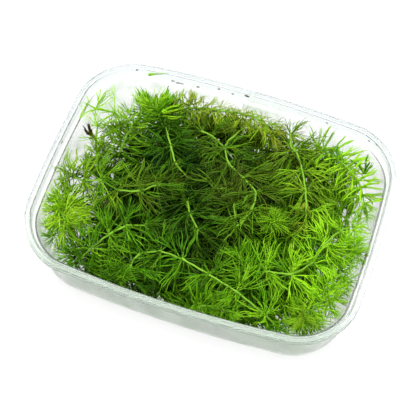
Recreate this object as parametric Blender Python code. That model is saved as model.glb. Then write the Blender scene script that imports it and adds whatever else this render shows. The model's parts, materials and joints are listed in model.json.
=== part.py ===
"""Hornwort stems packed in a clear plastic tub.

Metres in Blender, with the driving sizes below in millimetres.
Origin on the table under the middle of the tub, +X along its length, +Y to its back, +Z up.
"""
import math

import bmesh
import bpy
import numpy as np
from mathutils import Vector

MM = 0.001

# Tub: the rim's outer edge, before its sides bow outwards
RIM_LENGTH = 172.0
RIM_WIDTH = 122.8
RIM_RADIUS = 26.0
TUB_HEIGHT = 38.0
WALL = 0.8

# How far each side bows out at its middle, at the rim and at the base
RIM_BOW_LONG = 5.85
RIM_BOW_SHORT = 2.63
BASE_BOW_LONG = 4.65
BASE_BOW_SHORT = 3.11

# Insets from the rim's outer edge, and heights
FLANGE_WIDTH = 3.4
STEP_DRAFT = 0.3
LEDGE_INSET = 5.75
LEDGE_HEIGHT = 32.1
BASE_INSET = 6.13
BASE_EDGE_RADIUS = 3.0
BASE_EXTRA_RADIUS = 2.4
SKIRT_BOTTOM = 34.0
LIP_ROUND = 0.4
SHARP_ANGLE = 35.0

# Points around the tub
CORNER_STEPS = 5
LONG_STEPS = 8
SHORT_STEPS = 4

# Hornwort
STEM_RADIUS = 0.75
NODE_RADIUS = 1.1
WHORL_HALF_DEPTH = 1.2
LOBES = 5
LEAF_REACH = 15.0
LEAF_LEAN = 0.55
LEAF_SAMPLES = (0.3, 0.5, 0.7, 0.85, 1.0)
VALLEY_SHARE = 0.55
BEND_SHARE = 0.7
GROWING_TIP_SHARE = 0.75
SHORTEST_REACH = 1.8
REACH_STEP = 0.5
NEIGHBOUR_MARGIN = 1.5
WALL_MARGIN = 0.8
LEAF_CEILING = 43.0
UPPER_SPACING = 12.5
LOWER_SPACING = 16.0
ROUTE_STEP = 1.0
HEADING_SPAN = 1.5
BEND_SPAN = 4.0
STEEP = 0.8
END_LENGTH = 4.0
FIRST_SHARE = 0.4

# Routes of the stems in millimetres, from the cut end to the growing tip
UPPER_STEMS = {
    "stem_front": [(53, -53, 22), (45, -51, 29), (28, -45, 32), (12, -41, 33), (-3, -37, 32),
                   (-15, -36, 31), (-25, -41, 31), (-27, -49, 29), (-20, -55, 24)],
    "stem_right": [(29, -32, 24), (38, -29, 30), (51, -27, 32), (59, -18, 33), (62, -6, 33),
                   (67, 4, 32), (73, 12, 27)],
    "stem_left_front": [(-55, -50, 20), (-50, -45, 28), (-43, -36, 32), (-36, -29, 33), (-27, -24, 30)],
    "stem_left": [(-76, -7, 24), (-67, -10, 30), (-58, -8, 32), (-48, -11, 33), (-37, -8, 33),
                  (-30, -1, 32), (-24, 4, 28)],
    "stem_left_corner": [(-75, -14, 14), (-75, -22, 23), (-71, -31, 30), (-65, -39, 32)],
    "stem_centre": [(-21, 40, 28), (-13, 37, 31), (-4, 31, 33), (1, 23, 33), (11, 17, 33),
                    (20, 11, 33), (21, 1, 32), (17, -10, 31), (12, -19, 27)],
    "stem_arch": [(-13, 4, 22), (-12, -4, 30), (-8, -12, 33), (-2, -18, 31), (0, -25, 24)],
    "stem_middle": [(14.8, -5.8, 29), (11, 1.5, 31), (5.7, 8.5, 32), (-1.2, 7.2, 31.5), (-8.2, 12.3, 29.5)],
    "stem_right_back": [(26, 51, 27), (33, 41, 32), (39, 31, 33), (44, 20, 33), (48, 9, 31), (49, 1, 25)],
    "stem_rosette": [(29, -17, 14), (33, -11, 19), (35, -5, 26), (35, -3, 34)],
    "stem_sprig": [(-60, 22, 20), (-62, 29, 28), (-66, 32.5, 33), (-76, 30, 36), (-82, 30, 39)],
    "stem_brush": [(-58, 14, 22), (-57, 24, 27), (-54, 34, 31), (-51, 42, 36)],
    "stem_top": [(-42, 42, 25), (-38, 34, 31), (-31, 23, 33), (-25, 14, 32), (-16, 10, 27)],
    "stem_back": [(-41, 51, 20), (-29, 53, 27), (-17, 53, 31), (-4, 54, 33), (8, 54, 33), (17, 50, 29)],
    "stem_back_right": [(41, 50, 28), (50, 46, 32), (60, 41, 33), (69, 34, 32), (75, 25, 28)],
    "stem_left_back": [(-61, 4, 15), (-67, 9, 22), (-71, 16, 29), (-72, 23, 34)],
    "stem_right_corner": [(56, -47, 15), (64, -42, 24), (70, -34, 30), (73, -25, 33)],
    "stem_middle_tip": [(33, -37, 24), (28, -32, 30), (22, -25, 33)],
    "stem_front_edge_left": [(-50, -53, 11), (-43, -54, 20), (-34, -55, 28), (-28, -56, 32)],
    "stem_front_edge_right": [(3, -57, 13), (9, -56, 23), (19, -55, 29), (30, -56, 32)],
    "stem_right_edge": [(67, -19, 13), (72, -13, 20), (76, -6, 27), (77, 2, 32)],
}
LOWER_STEMS = {
    "stem_lower_front": [(-58, -40, 9), (-36, -45, 11), (-10, -47, 9), (16, -44, 11), (40, -40, 9),
                         (60, -36, 10)],
    "stem_lower_front_mid": [(67, -16, 10), (44, -20, 9), (18, -21, 11), (-8, -23, 9), (-34, -20, 11),
                             (-56, -17, 10)],
    "stem_lower_mid": [(-68, 4, 10), (-44, 2, 9), (-18, 1, 11), (8, -1, 9), (34, 3, 11), (60, 7, 10)],
    "stem_lower_back_mid": [(69, 25, 10), (46, 22, 11), (20, 24, 9), (-6, 21, 11), (-32, 23, 9),
                            (-54, 26, 10)],
    "stem_lower_back": [(-52, 46, 10), (-30, 44, 10), (-6, 46, 9), (18, 45, 11), (40, 42, 9), (58, 42, 10)],
}

# Colours of the pieces: base colour, roughness, metallic
CLEAR_PLASTIC = ((0.90, 0.94, 0.93, 1.0), 0.18, 0.0)
HORNWORT = ((0.16, 0.34, 0.02, 1.0), 0.45, 0.0)


def clear_scene():
    for item in list(bpy.data.objects):
        bpy.data.objects.remove(item, do_unlink=True)


def make_material(name, finish):
    colour, roughness, metallic = finish
    material = bpy.data.materials.new(name)
    material.use_nodes = True
    shader = material.node_tree.nodes["Principled BSDF"]
    shader.inputs["Base Color"].default_value = colour
    shader.inputs["Roughness"].default_value = roughness
    shader.inputs["Metallic"].default_value = metallic
    material.diffuse_color = colour
    return material


def add_object(name, mesh_builder, material):
    mesh = bpy.data.meshes.new(name)
    bmesh.ops.recalc_face_normals(mesh_builder, faces=mesh_builder.faces[:])
    mesh_builder.to_mesh(mesh)
    mesh_builder.free()
    mesh.materials.append(material)
    item = bpy.data.objects.new(name, mesh)
    bpy.context.scene.collection.objects.link(item)
    return item


def bridge(mesh_builder, lower, upper):
    """Join two rings that have the same number of vertices with a band of quads."""
    count = len(lower)
    for index in range(count):
        following = (index + 1) % count
        mesh_builder.faces.new((lower[index], lower[following], upper[following], upper[index]))


def tub_ring(inset, height):
    """Outline of the tub, in millimetres, at an inset from the rim's edge and a height."""
    rise = height / TUB_HEIGHT
    half_length = RIM_LENGTH / 2 - inset
    half_width = RIM_WIDTH / 2 - inset
    radius = RIM_RADIUS - inset + BASE_EXTRA_RADIUS * (1 - rise)
    bow_long = BASE_BOW_LONG + (RIM_BOW_LONG - BASE_BOW_LONG) * rise
    bow_short = BASE_BOW_SHORT + (RIM_BOW_SHORT - BASE_BOW_SHORT) * rise
    corners = ((1, 1), (-1, 1), (-1, -1), (1, -1))
    arcs = []
    for quarter, (sign_x, sign_y) in enumerate(corners):
        centre_x = sign_x * (half_length - radius)
        centre_y = sign_y * (half_width - radius)
        arc = []
        for step in range(CORNER_STEPS + 1):
            angle = math.pi / 2 * (quarter + step / CORNER_STEPS)
            arc.append((centre_x + radius * math.cos(angle), centre_y + radius * math.sin(angle)))
        arcs.append(arc)
    plain = []
    for quarter, arc in enumerate(arcs):
        plain += arc
        start = arc[-1]
        end = arcs[(quarter + 1) % 4][0]
        steps = LONG_STEPS if quarter % 2 == 0 else SHORT_STEPS
        for step in range(1, steps):
            share = step / steps
            plain.append((start[0] + (end[0] - start[0]) * share, start[1] + (end[1] - start[1]) * share))
    bowed = []
    for x, y in plain:
        out_x = bow_short * (1 - (y / half_width) ** 2) * (x / half_length) ** 2
        out_y = bow_long * (1 - (x / half_length) ** 2) * (y / half_width) ** 2
        bowed.append((x + math.copysign(out_x, x), y + math.copysign(out_y, y)))
    return bowed


def tub_profile():
    """Section of the tub as (inset, height), from the underside up the outside and down the inside."""
    edge = BASE_EDGE_RADIUS
    cut = edge * (1 - math.sqrt(0.5))
    inner_edge = edge - WALL / 2
    inner_cut = inner_edge * (1 - math.sqrt(0.5))
    return [
        (BASE_INSET + edge, 0.0),
        (BASE_INSET + cut, cut),
        (BASE_INSET, edge),
        (LEDGE_INSET - WALL, LEDGE_HEIGHT - WALL),
        (FLANGE_WIDTH + STEP_DRAFT - WALL, LEDGE_HEIGHT - WALL),
        (FLANGE_WIDTH - WALL, TUB_HEIGHT - WALL),
        (WALL, TUB_HEIGHT - WALL),
        (WALL, SKIRT_BOTTOM),
        (0.0, SKIRT_BOTTOM),
        (0.0, TUB_HEIGHT - LIP_ROUND),
        (LIP_ROUND, TUB_HEIGHT),
        (FLANGE_WIDTH, TUB_HEIGHT),
        (FLANGE_WIDTH + STEP_DRAFT, LEDGE_HEIGHT),
        (LEDGE_INSET, LEDGE_HEIGHT),
        (BASE_INSET + WALL, WALL + inner_edge),
        (BASE_INSET + WALL + inner_cut, WALL + inner_cut),
        (BASE_INSET + WALL + inner_edge, WALL),
    ]


def make_tub(material):
    builder = bmesh.new()
    rings = []
    for inset, height in tub_profile():
        outline = tub_ring(inset, height)
        rings.append([builder.verts.new((x * MM, y * MM, height * MM)) for x, y in outline])
    for lower, upper in zip(rings, rings[1:]):
        bridge(builder, lower, upper)
    builder.faces.new(list(reversed(rings[0])))
    builder.faces.new(rings[-1])
    tub = add_object("tub", builder, material)
    tub.data.shade_smooth()
    tub.data.set_sharp_from_angle(angle=math.radians(SHARP_ANGLE))
    return tub


def smooth_route(points):
    """Points about a millimetre apart on a smooth curve through the given points."""
    knots = [np.array(point, dtype=float) for point in points]
    knots = [2 * knots[0] - knots[1]] + knots + [2 * knots[-1] - knots[-2]]
    samples = []
    for before, start, end, after in zip(knots, knots[1:], knots[2:], knots[3:]):
        steps = max(2, round(float(np.linalg.norm(end - start)) / ROUTE_STEP))
        for step in range(steps):
            t = step / steps
            samples.append(0.5 * (2 * start + (end - before) * t
                                  + (2 * before - 5 * start + 4 * end - after) * t ** 2
                                  + (3 * start - before - 3 * end + after) * t ** 3))
    samples.append(knots[-2])
    return np.array(samples)


def inner_inset(height):
    """Inset of the tub's inner wall at a height."""
    if height > LEDGE_HEIGHT + WALL_MARGIN:
        return FLANGE_WIDTH + STEP_DRAFT
    corner = max(0.0, BASE_EDGE_RADIUS - height)
    draft = (BASE_INSET + WALL - LEDGE_INSET) * (1 - height / LEDGE_HEIGHT)
    return LEDGE_INSET + draft + corner


def clear_of_tub(point):
    """True where a point in millimetres is inside the tub and clear of its floor and walls."""
    x, y, height = point
    if height < WALL + WALL_MARGIN or height > LEAF_CEILING:
        return False
    outline = np.array(tub_ring(inner_inset(min(height, TUB_HEIGHT)), min(height, TUB_HEIGHT)))
    following = np.roll(outline, -1, axis=0)
    along = following - outline
    normal = np.stack([along[:, 1], -along[:, 0]], axis=1)
    normal /= np.linalg.norm(normal, axis=1)[:, None]
    depth = ((np.array([x, y]) - outline) * normal).sum(axis=1)
    return bool(depth.max() < -WALL_MARGIN)


def nearest_distance(points, route):
    """Distance from each of the points to the nearest point of a route."""
    return np.linalg.norm(points[:, None, :] - route[None, :, :], axis=2).min(axis=1)


def leaf_reach(centre, direction, lean, longest, own, others):
    """Longest leaf that stays nearer to its own stem than to any other, and inside the tub."""
    shares = np.array(LEAF_SAMPLES)[:, None]
    reach = longest
    while reach > SHORTEST_REACH:
        points = centre + (direction + lean) * reach * shares
        room = nearest_distance(points, others) - nearest_distance(points, own)
        if room.min() > NEIGHBOUR_MARGIN and all(clear_of_tub(point) for point in points):
            return reach
        reach -= REACH_STEP
    return SHORTEST_REACH


def stem_frames(route, distances):
    """Centre, tangent, bend and two cross directions at each distance along a route."""
    lengths = np.concatenate([[0.0], np.cumsum(np.linalg.norm(np.diff(route, axis=0), axis=1))])

    def place(distance):
        return np.array([np.interp(distance, lengths, route[:, axis]) for axis in range(3)])

    def heading(distance):
        step = place(distance + HEADING_SPAN) - place(distance - HEADING_SPAN)
        return step / np.linalg.norm(step)

    frames = []
    across = None
    for distance in distances:
        tangent = heading(distance)
        ahead = heading(min(distance + BEND_SPAN, lengths[-1]))
        bend = (ahead - heading(max(distance - BEND_SPAN, 0.0))) / (2 * BEND_SPAN)
        if across is None:
            level = abs(tangent[2]) < STEEP
            across = np.array([0.0, 0.0, 1.0]) if level else np.array([1.0, 0.0, 0.0])
        across = across - tangent * float(across @ tangent)
        across = across / np.linalg.norm(across)
        frames.append((place(distance), tangent, bend, across, np.cross(tangent, across)))
    return frames


def whorl_points(frame, index, longest, own, others):
    """Ring of one whorl: leaf tips on every second spoke, and the valleys between them."""
    centre, tangent, bend, across, side = frame
    spokes = 2 * LOBES
    lean = tangent * LEAF_LEAN
    directions = []
    reaches = []
    for spoke in range(spokes):
        angle = math.pi * spoke / LOBES
        direction = across * math.cos(angle) + side * math.sin(angle)
        limit = longest
        inwards = float(bend @ direction)
        if inwards > 0:
            limit = min(limit, max(SHORTEST_REACH, BEND_SHARE / inwards))
        directions.append(direction)
        reaches.append(leaf_reach(centre, direction, lean, limit, own, others))
    points = []
    for spoke in range(spokes):
        reach = reaches[spoke]
        if (spoke + index) % 2 == 1:
            reach = min(reach, VALLEY_SHARE * min(reaches[spoke - 1], reaches[(spoke + 1) % spokes]))
            reach = max(reach, NODE_RADIUS)
        points.append(centre + (directions[spoke] + lean) * reach)
    return points


def make_stem(name, routes, spacing, material):
    """One stem with its whorls: a thin tube that opens into a star of leaf lobes at each node."""
    own = routes[name]
    others = np.concatenate([points for other, points in routes.items() if other != name])
    total = float(np.linalg.norm(np.diff(own, axis=0), axis=1).sum())
    whorls = max(2, round(total / spacing))
    pitch = (total - END_LENGTH) / (whorls - 1 + FIRST_SHARE)
    distances = [0.0]
    whorl_at = {}
    for index in range(whorls):
        place = pitch * (FIRST_SHARE + index)
        whorl_at[len(distances) + 1] = index
        distances += [place - WHORL_HALF_DEPTH, place, place + WHORL_HALF_DEPTH]
    distances.append(total)
    frames = stem_frames(own, distances)

    builder = bmesh.new()
    rings = []
    spokes = 2 * LOBES
    for number, frame in enumerate(frames[:-1]):
        centre, tangent, bend, across, side = frame
        if number in whorl_at:
            index = whorl_at[number]
            share = GROWING_TIP_SHARE if index == whorls - 1 else 1.0
            points = whorl_points(frame, index, LEAF_REACH * share, own, others)
        else:
            angles = [math.pi * spoke / LOBES for spoke in range(spokes)]
            points = [centre + (across * math.cos(angle) + side * math.sin(angle)) * STEM_RADIUS
                      for angle in angles]
        rings.append([builder.verts.new(Vector(point) * MM) for point in points])
    for lower, upper in zip(rings, rings[1:]):
        bridge(builder, lower, upper)
    builder.faces.new(list(reversed(rings[0])))
    tip = builder.verts.new(Vector(frames[-1][0]) * MM)
    for spoke in range(spokes):
        builder.faces.new((rings[-1][spoke], rings[-1][(spoke + 1) % spokes], tip))
    return add_object(name, builder, material)


def make_hornwort(material):
    routes = {name: smooth_route(points) for name, points in {**UPPER_STEMS, **LOWER_STEMS}.items()}
    for name in UPPER_STEMS:
        make_stem(name, routes, UPPER_SPACING, material)
    for name in LOWER_STEMS:
        make_stem(name, routes, LOWER_SPACING, material)


def main():
    clear_scene()
    make_tub(make_material("clear plastic", CLEAR_PLASTIC))
    make_hornwort(make_material("hornwort", HORNWORT))


main()
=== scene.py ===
import json
import math
import random

import bmesh
import bpy
import numpy as np
from bpy.props import FloatProperty, FloatVectorProperty, IntProperty, PointerProperty
from mathutils import Matrix, Vector

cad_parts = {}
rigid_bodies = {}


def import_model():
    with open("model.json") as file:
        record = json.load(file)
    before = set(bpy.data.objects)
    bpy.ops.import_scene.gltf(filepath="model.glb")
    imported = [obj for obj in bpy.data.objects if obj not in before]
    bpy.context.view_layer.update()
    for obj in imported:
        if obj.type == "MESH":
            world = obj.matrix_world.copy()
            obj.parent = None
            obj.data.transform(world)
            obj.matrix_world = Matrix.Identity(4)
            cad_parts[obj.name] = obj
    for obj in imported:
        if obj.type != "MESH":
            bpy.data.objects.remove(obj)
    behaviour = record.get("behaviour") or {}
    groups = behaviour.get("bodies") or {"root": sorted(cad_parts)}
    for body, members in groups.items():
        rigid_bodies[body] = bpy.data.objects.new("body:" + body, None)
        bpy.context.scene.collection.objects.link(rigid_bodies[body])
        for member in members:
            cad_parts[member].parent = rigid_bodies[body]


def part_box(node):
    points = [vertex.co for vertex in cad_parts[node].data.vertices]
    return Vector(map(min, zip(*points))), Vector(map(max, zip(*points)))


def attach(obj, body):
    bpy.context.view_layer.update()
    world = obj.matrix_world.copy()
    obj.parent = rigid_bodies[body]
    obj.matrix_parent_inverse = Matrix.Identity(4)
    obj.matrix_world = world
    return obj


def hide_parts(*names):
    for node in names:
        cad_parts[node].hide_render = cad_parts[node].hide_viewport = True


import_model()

bl_info = {
    "name": "Hornwort in a tub",
    "version": (1, 0, 0),
    "blender": (4, 5, 0),
    "location": "3D View > Sidebar > Hornwort",
    "description": "Leafy hornwort stems in a clear plastic tub, with their dirt and a plain studio",
    "category": "Object",
}

MM = 0.001
ROOT = "root"

# Different leaves drawn of each kind, and the length in mm at which a drawn leaf has its own thickness
PATTERNS = 8
NOMINAL_LEAF = 16.0

# Scale of the noise that moves the leaf tips
FLUTTER_SCALE = 95.0

# Kinds of leaf: forks, spread of a fork in degrees, how far the whole leaf bends in radians,
# how wavy its strands are, and how thick it is beside a plain leaf
LEAVES = {
    "plume": {"forks": 2, "spread": (3.0, 13.0), "curl": 0.9, "wave": 1.0, "thick": 0.88},
    "feather": {"forks": 2, "spread": (5.0, 13.0), "curl": 0.9, "wave": 0.9, "thick": 0.9},
    "blade": {"forks": 1, "spread": (2.0, 6.0), "curl": 0.3, "wave": 0.25, "thick": 2.3},
    "curled": {"forks": 2, "spread": (8.0, 18.0), "curl": 1.5, "wave": 1.3, "thick": 1.0},
    "fine": {"forks": 1, "spread": (6.0, 13.0), "curl": 0.6, "wave": 0.8, "thick": 0.88},
    "deep": {"forks": 2, "spread": (6.0, 14.0), "curl": 0.9, "wave": 1.0, "thick": 1.35},
    "needle": {"forks": 1, "spread": (3.0, 8.0), "curl": 0.5, "wave": 0.35, "thick": 1.55},
}

# Kinds of growth: kind of leaf, pitch of the whorls (0 puts them at the route's own points) and leaf
# length in mm, leaves in a whorl, how flat the whorls lie (1 is round), how much nearer to another
# stem than to their own the leaves may come in mm, length of the leaves at the growing tip beside the
# others, and the height in mm that no leaf of a whorl aims above
GROWTH = {
    "open": {"leaf": "plume", "pitch": 0.0, "length": 21.0, "leaves": 15, "flat": 0.45, "weave": 13.0,
             "tip": 0.55, "top": 42.5},
    "brush": {"leaf": "feather", "pitch": 3.4, "length": 18.0, "leaves": 12, "flat": 0.85, "weave": 8.0,
              "tip": 0.55, "top": 41.0},
    "full": {"leaf": "feather", "pitch": 3.0, "length": 21.0, "leaves": 13, "flat": 0.9, "weave": 12.0,
             "tip": 1.0, "top": 42.5},
    "sparse": {"leaf": "fine", "pitch": 0.0, "length": 17.0, "leaves": 8, "flat": 0.9, "weave": 8.0,
               "tip": 0.9, "top": 42.5},
    "olive": {"leaf": "curled", "pitch": 4.4, "length": 15.0, "leaves": 12, "flat": 1.0, "weave": 8.0,
              "tip": 0.8, "top": 36.0},
    "rosette": {"leaf": "curled", "pitch": 4.0, "length": 11.0, "leaves": 6, "flat": 1.0, "weave": 7.0,
                "tip": 0.7, "top": 36.0},
    "deep": {"leaf": "deep", "pitch": 3.0, "length": 21.0, "leaves": 17, "flat": 1.1, "weave": 14.0,
             "tip": 0.8, "top": 34.0},
    "spiky": {"leaf": "needle", "pitch": 4.0, "length": 17.0, "leaves": 10, "flat": 0.9, "weave": 8.0,
              "tip": 0.7, "top": 42.0},
}

# Places where the floor shows between the stems: x, y and radius in mm
CLEARINGS = [(-73, -9, 13), (-73, 27, 8), (-67, 40, 5), (75, 24, 8), (80, -26, 6), (57, -52, 5)]

# Routes of the stems in millimetres, as the solids have them, with each stem's growth,
# tone (0 is dark green, 1 is bright yellow-green) and share of olive leaves
STEMS = {
    "stem_front": ("open", 0.29, 0.03, [
        (53, -53, 22), (45, -51, 29), (28, -45, 32), (12, -41, 33), (-3, -37, 32), (-15, -36, 31),
        (-25, -41, 31), (-27, -49, 29), (-20, -55, 24)]),
    "stem_right": ("open", 0.60, 0.05, [
        (29, -32, 24), (38, -29, 30), (51, -27, 32), (59, -18, 33), (62, -6, 33), (67, 4, 32),
        (73, 12, 27)]),
    "stem_left_front": ("open", 0.42, 0.05, [
        (-55, -50, 20), (-50, -45, 28), (-43, -36, 32), (-36, -29, 33), (-27, -24, 30)]),
    "stem_left": ("open", 0.34, 0.35, [
        (-76, -7, 24), (-67, -10, 30), (-58, -8, 32), (-48, -11, 33), (-37, -8, 33), (-30, -1, 32),
        (-24, 4, 28)]),
    "stem_left_corner": ("full", 0.84, 0.35, [
        (-75, -14, 14), (-75, -22, 23), (-71, -31, 30), (-65, -39, 32)]),
    "stem_left_back": ("sparse", 1.00, 0.40, [
        (-61, 4, 15), (-67, 9, 22), (-71, 16, 29), (-72, 23, 34)]),
    "stem_centre": ("open", 0.26, 0.22, [
        (-21, 40, 28), (-13, 37, 31), (-4, 31, 33), (1, 23, 33), (11, 17, 33), (20, 11, 33),
        (21, 1, 32), (17, -10, 31), (12, -19, 27)]),
    "stem_arch": ("open", 0.24, 0.05, [
        (-13, 4, 22), (-12, -4, 30), (-8, -12, 33), (-2, -18, 31), (0, -25, 24)]),
    "stem_middle": ("open", 0.23, 0.30, [
        (14.8, -5.8, 29), (11, 1.5, 31), (5.7, 8.5, 32), (-1.2, 7.2, 31.5), (-8.2, 12.3, 29.5)]),
    "stem_right_back": ("open", 0.28, 0.25, [
        (26, 51, 27), (33, 41, 32), (39, 31, 33), (44, 20, 33), (48, 9, 31), (49, 1, 25)]),
    "stem_rosette": ("rosette", 0.60, 0.10, [
        (29, -17, 14), (33, -11, 19), (35, -5, 26), (35, -3, 34)]),
    "stem_sprig": ("sparse", 1.0, 0.15, [
        (-60, 22, 20), (-62, 29, 28), (-66, 32.5, 33), (-76, 30, 36), (-82, 30, 39)]),
    "stem_brush": ("brush", 0.62, 0.20, [
        (-58, 14, 22), (-57, 24, 27), (-54, 34, 31), (-51, 42, 36)]),
    "stem_top": ("open", 0.24, 0.0, [
        (-42, 42, 25), (-38, 34, 31), (-31, 23, 33), (-25, 14, 32), (-16, 10, 27)]),
    "stem_back": ("olive", 0.95, 0.80, [
        (-41, 51, 20), (-29, 53, 27), (-17, 53, 31), (-4, 54, 33), (8, 54, 33), (17, 50, 29)]),
    "stem_back_right": ("spiky", 0.56, 0.15, [
        (41, 50, 28), (50, 46, 32), (60, 41, 33), (69, 34, 32), (75, 25, 28)]),
    "stem_right_corner": ("brush", 0.74, 0.06, [
        (56, -47, 15), (64, -42, 24), (70, -34, 30), (73, -25, 33)]),
    "stem_middle_tip": ("brush", 0.40, 0.0, [
        (33, -37, 24), (28, -32, 30), (22, -25, 33)]),
    "stem_front_edge_left": ("brush", 0.38, 0.05, [
        (-50, -53, 11), (-43, -54, 20), (-34, -55, 28), (-28, -56, 32)]),
    "stem_front_edge_right": ("brush", 0.58, 0.04, [
        (3, -57, 13), (9, -56, 23), (19, -55, 29), (30, -56, 32)]),
    "stem_right_edge": ("brush", 0.78, 0.02, [
        (67, -19, 13), (72, -13, 20), (76, -6, 27), (77, 2, 32)]),
    "stem_lower_front": ("deep", 0.30, 0.05, [
        (-58, -40, 9), (-36, -45, 11), (-10, -47, 9), (16, -44, 11), (40, -40, 9), (60, -36, 10)]),
    "stem_lower_front_mid": ("deep", 0.31, 0.08, [
        (67, -16, 10), (44, -20, 9), (18, -21, 11), (-8, -23, 9), (-34, -20, 11), (-56, -17, 10)]),
    "stem_lower_mid": ("deep", 0.32, 0.12, [
        (-68, 4, 10), (-44, 2, 9), (-18, 1, 11), (8, -1, 9), (34, 3, 11), (60, 7, 10)]),
    "stem_lower_back_mid": ("deep", 0.34, 0.18, [
        (69, 25, 10), (46, 22, 11), (20, 24, 9), (-6, 21, 11), (-32, 23, 9), (-54, 26, 10)]),
    "stem_lower_back": ("deep", 0.42, 0.30, [
        (-52, 46, 10), (-30, 44, 10), (-6, 46, 9), (18, 45, 11), (40, 42, 9), (58, 42, 10)]),
}

# Tufts of leaves that stand out of the whorls: the stem that they grow on, kind of leaf, foot in mm,
# heading, half angle of the spray in degrees, leaves, length in mm, tone, olive share, dead share
TUFTS = [
    ("stem_top", "blade", (-46, 41, 28), (-0.10, 0.70, 0.60), 66, 13, 18.5, 0.68, 0.0, 0.0),
    ("stem_top", "fine", (-46, 41, 28), (-0.10, 0.75, 0.60), 62, 18, 22.0, 1.40, 0.4, 0.0),
    ("stem_top", "blade", (-45, 42, 29), (0.25, 0.80, 0.50), 9, 7, 18.0, 0.56, 0.0, 0.0),
    ("stem_top", "blade", (-48, 41, 29), (-0.55, 0.45, 0.65), 8, 5, 17.0, 0.60, 0.0, 0.0),
    ("stem_brush", "feather", (-64, 27, 25), (-0.5, 0.2, 0.6), 85, 26, 14.0, 0.52, 0.5, 0.0),
    ("stem_brush", "feather", (-66, 14, 22), (-0.5, -0.1, 0.6), 85, 24, 13.0, 0.58, 0.5, 0.0),
    ("stem_left_back", "blade", (-71, 16, 29), (-0.50, 0.05, 0.85), 12, 6, 12.0, 0.10, 1.0, 2.5),
    ("stem_left_back", "fine", (-68, 10, 23), (-0.40, 0.30, 0.80), 35, 9, 15.0, 0.95, 0.3, 0.0),
    ("stem_left_back", "fine", (-74, -6, 30), (-0.10, 0.70, 0.50), 65, 15, 11.0, 1.50, 0.5, 0.0),
    ("stem_left_corner", "fine", (-78, -29, 31), (0.3, 0.2, 0.9), 85, 9, 9.0, 0.90, 0.0, 0.0),
    ("stem_left_corner", "feather", (-70, -44, 29), (-0.5, -0.7, 0.7), 80, 22, 12.0, 0.60, 0.0, 0.0),
    ("stem_left_front", "feather", (-58, -52, 28), (-0.3, -0.7, 0.7), 80, 22, 12.0, 0.45, 0.0, 0.0),
    ("stem_sprig", "fine", (-76, 30, 36), (0.28, 0.90, 0.25), 14, 4, 17.0, 1.0, 0.1, 0.0),
    ("stem_sprig", "fine", (-76, 30, 36), (0.90, 0.25, 0.10), 14, 4, 9.0, 1.0, 0.1, 0.0),
    ("stem_left", "blade", (-49, -10, 31), (-0.12, -1.0, -0.15), 9, 4, 15.0, 0.45, 0.6, 0.9),
    ("stem_right_back", "blade", (46, 17, 30), (0.10, -0.8, -0.25), 30, 7, 11.0, 0.60, 1.0, 0.7),
    ("stem_right_back", "fine", (49, 5, 29), (-0.3, -0.8, 0.1), 60, 12, 12.0, 0.70, 1.0, 0.4),
    ("stem_back", "curled", (0, 49, 30), (0.2, 0.7, 0.5), 65, 12, 11.0, 0.90, 0.9, 0.7),
    ("stem_back", "curled", (17, 48, 29), (0.4, 0.5, 0.5), 65, 10, 11.0, 0.85, 1.0, 0.9),
    ("stem_right_back", "curled", (27, 51, 29), (0.2, 0.6, 0.6), 62, 11, 11.0, 0.95, 0.9, 0.7),
    ("stem_back_right", "blade", (59, 43, 30), (-0.75, 0.50, 0.42), 12, 5, 16.0, 0.46, 0.0, 0.0),
    ("stem_back_right", "blade", (70, 41, 31), (-0.30, 0.48, 0.75), 42, 9, 12.0, 0.50, 0.0, 0.0),
    ("stem_rosette", "curled", (34, -3, 34), (0.1, -0.3, 1.0), 100, 28, 10.5, 0.78, 0.20, 0.0),
    ("stem_right_edge", "feather", (78, -6, 34), (0.6, -0.3, 0.5), 85, 22, 10.0, 0.76, 0.1, 0.0),
    ("stem_right_edge", "feather", (76, -22, 34), (0.7, -0.3, 0.5), 85, 24, 11.0, 0.76, 0.1, 0.0),
    ("stem_right_corner", "feather", (73, -36, 33), (0.7, -0.4, 0.5), 85, 26, 12.0, 0.74, 0.2, 0.0),
    ("stem_right_corner", "feather", (63, -47, 32), (0.4, -0.7, 0.5), 85, 24, 12.0, 0.70, 0.4, 0.0),
    ("stem_right_corner", "blade", (61.7, -47, 33), (0, 0.1, 1), 60, 9, 2.4, 0.70, 1.0, 0.7),
    ("stem_back_right", "feather", (76, 18, 33), (0.8, 0.1, 0.5), 85, 22, 10.0, 0.80, 0.1, 0.0),
]

# Bare side branches, from a node of their stem, as points in mm
TWIGS = [
    ("stem_centre", [(-4, 31, 33), (-3.5, 34, 34), (-1.5, 39, 33.5), (1.5, 46.5, 32)]),
    ("stem_right_back", [(33, 41, 32), (29, 43, 33.5), (27.5, 48, 34), (26, 52, 34)]),
]


# Settings

def length_setting(name, description, default):
    return FloatProperty(name=name, description=description, default=default, unit="LENGTH")


def angle_setting(name, description, degrees):
    return FloatProperty(name=name, description=description, default=math.radians(degrees), subtype="ANGLE")


def colour_setting(name, description, default):
    return FloatVectorProperty(name=name, description=description, default=default, subtype="COLOR", size=3)


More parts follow.
